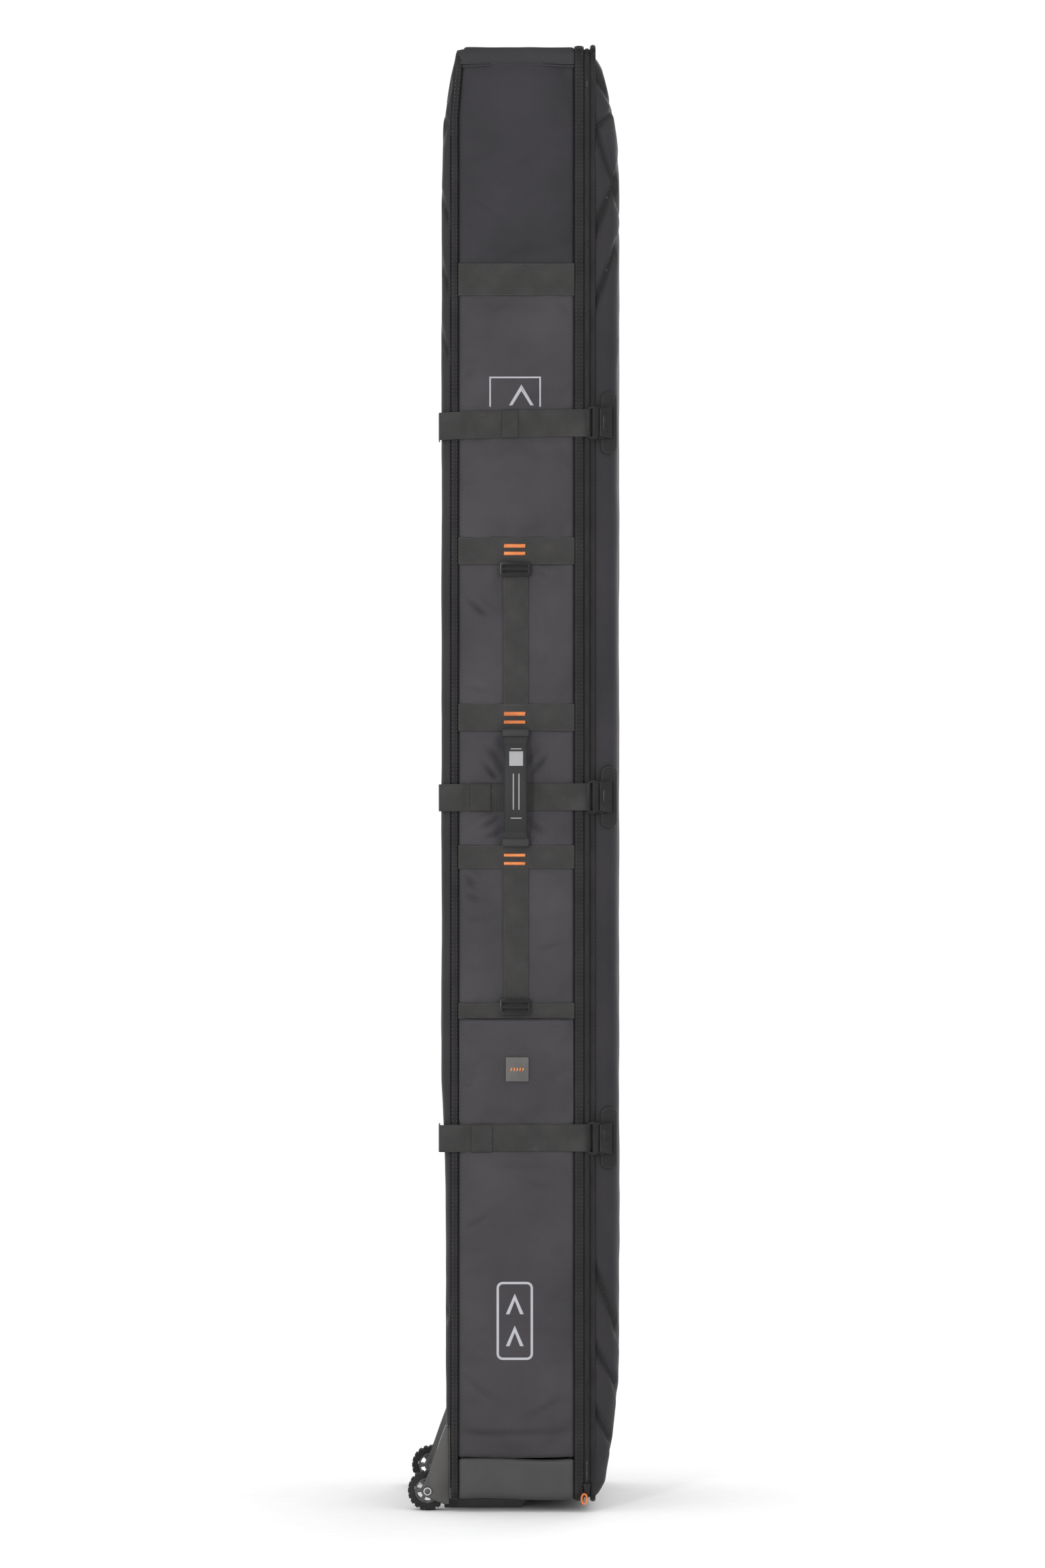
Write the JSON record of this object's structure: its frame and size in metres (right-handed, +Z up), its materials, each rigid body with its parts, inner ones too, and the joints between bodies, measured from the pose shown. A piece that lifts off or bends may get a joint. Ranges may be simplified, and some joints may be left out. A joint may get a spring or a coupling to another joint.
{
  "type": "wheeled snowboard bag",
  "caption": "Tall padded wheeled board bag with a full-length zipped lid, compression straps with side-release buckles, a carry handle, a tow handle and a moulded wheel base.",
  "frame": {"origin": "on the floor, under the middle of the bag's outline as it stands on its wheel end", "axes": "+Z up along the bag from the wheels to the tow handle, +X from the back panel to the lid, +Y across the bag from the buckled side to the hinged side"},
  "size_m": [0.3039, 0.437, 2.129],
  "materials": {
    "fabric": "dark charcoal ripstop over foam, matt with a faint sheen",
    "coated": "smooth coated fabric, satin",
    "webbing": "woven polyester webbing, olive black, matt",
    "lining": "plain lining over foam",
    "moulding": "moulded grey plastic, fine grain",
    "gloss": "glossy black acetal",
    "tyre": "matt black rubber with lugs",
    "rim": "dark moulded plastic",
    "steel": "plated steel",
    "cord": "orange braided cord",
    "patch": "matt grey rubber"
  },
  "bodies": {
    "shell": {"back_panel": "fabric", "gusset_near": "fabric", "gusset_far": "fabric", "end_top": "fabric", "pocket_front": "fabric", "boot_near": "coated", "boot_far": "coated", "end_bottom": "coated", "binding_near": "webbing", "binding_far": "webbing", "zip_tape_body": "webbing", "band_1": "webbing", "band_2": "webbing", "band_3": "webbing", "band_4": "webbing", "band_5": "webbing", "webbing_upper": "webbing", "webbing_lower": "webbing", "handle_fold_upper": "webbing", "handle_fold_lower": "webbing", "tie_down_upper": "webbing", "tie_down_lower": "webbing", "strap_upper": "webbing", "strap_middle": "webbing", "strap_lower": "webbing", "tail_plate": "moulding", "base_plate": "moulding", "skid_rail": "moulding", "fork_near": "moulding", "fork_far": "moulding", "axle_near": "steel", "axle_far": "steel", "rubber_patch": "patch"},
    "lid": {"lid_face": "fabric", "lid_wall_near": "fabric", "lid_wall_far": "fabric", "divider_pad": "lining", "zip_tape_lid": "webbing", "buckle_socket_upper": "gloss", "lid_tab_upper": "webbing", "buckle_socket_middle": "gloss", "lid_tab_middle": "webbing", "buckle_socket_lower": "gloss", "lid_tab_lower": "webbing"},
    "near_wheel": {"tyre_near": "tyre", "rim_near": "rim", "wheel_bush_near": "moulding"},
    "far_wheel": {"tyre_far": "tyre", "rim_far": "rim", "wheel_bush_far": "moulding"},
    "slider": {"zip_slider": "gloss"},
    "pull": {"zip_pull": "cord"},
    "tongue_upper": {"buckle_tongue_upper": "gloss"},
    "tongue_middle": {"buckle_tongue_middle": "gloss"},
    "tongue_lower": {"buckle_tongue_lower": "gloss"},
    "lock_upper": {"ladder_lock_upper": "gloss"},
    "lock_lower": {"ladder_lock_lower": "gloss"},
    "side_handle": {"carry_handle": "webbing"},
    "end_handle": {"tow_handle": "webbing"}
  },
  "joints": [
    {"name": "lid_open", "type": "hinge", "parent": "shell", "child": "lid", "pos_m": [0.107, 0.22, 1.06], "axis": [0, 0, 1], "range_deg": [0, 170]},
    {"name": "near_wheel_roll", "type": "hinge", "parent": "shell", "child": "near_wheel", "pos_m": [-0.1235, -0.1465, 0.0285], "axis": [0, 1, 0], "continuous": true},
    {"name": "far_wheel_roll", "type": "hinge", "parent": "shell", "child": "far_wheel", "pos_m": [-0.1235, 0.1835, 0.0285], "axis": [0, 1, 0], "continuous": true},
    {"name": "zip_slide", "type": "slide", "parent": "shell", "child": "slider", "axis": [0, 0, 1], "range_m": [0, 0.47]},
    {"name": "pull_swing", "type": "hinge", "parent": "slider", "child": "pull", "pos_m": [0.1065, -0.1898, 0.0275], "axis": [-1, 0, 0], "range_deg": [0, 160]},
    {"name": "side_handle_swing", "type": "hinge", "parent": "shell", "child": "side_handle", "pos_m": [0.0035, -0.1835, 1.044], "axis": [0, 0, 1], "range_deg": [-25, 25], "stiffness_Nm_per_rad": 0.15},
    {"name": "end_handle_swing", "type": "hinge", "parent": "shell", "child": "end_handle", "pos_m": [0, 0.0185, 2.107], "axis": [1, 0, 0], "range_deg": [-25, 25], "stiffness_Nm_per_rad": 0.15},
    {"name": "lock_upper_lift", "type": "hinge", "parent": "shell", "child": "lock_upper", "pos_m": [0.0035, -0.1871, 1.3665], "axis": [-1, 0, 0], "range_deg": [0, 60]},
    {"name": "lock_lower_lift", "type": "hinge", "parent": "shell", "child": "lock_lower", "pos_m": [0.0035, -0.1871, 0.7195], "axis": [1, 0, 0], "range_deg": [0, 60]},
    {"name": "tongue_upper_slide", "type": "slide", "parent": "shell", "child": "tongue_upper", "axis": [1, 0, 0], "range_m": [-0.03, 0]},
    {"name": "tongue_middle_slide", "type": "slide", "parent": "shell", "child": "tongue_middle", "axis": [1, 0, 0], "range_m": [-0.03, 0]},
    {"name": "tongue_lower_slide", "type": "slide", "parent": "shell", "child": "tongue_lower", "axis": [1, 0, 0], "range_m": [-0.03, 0]}
  ]
}
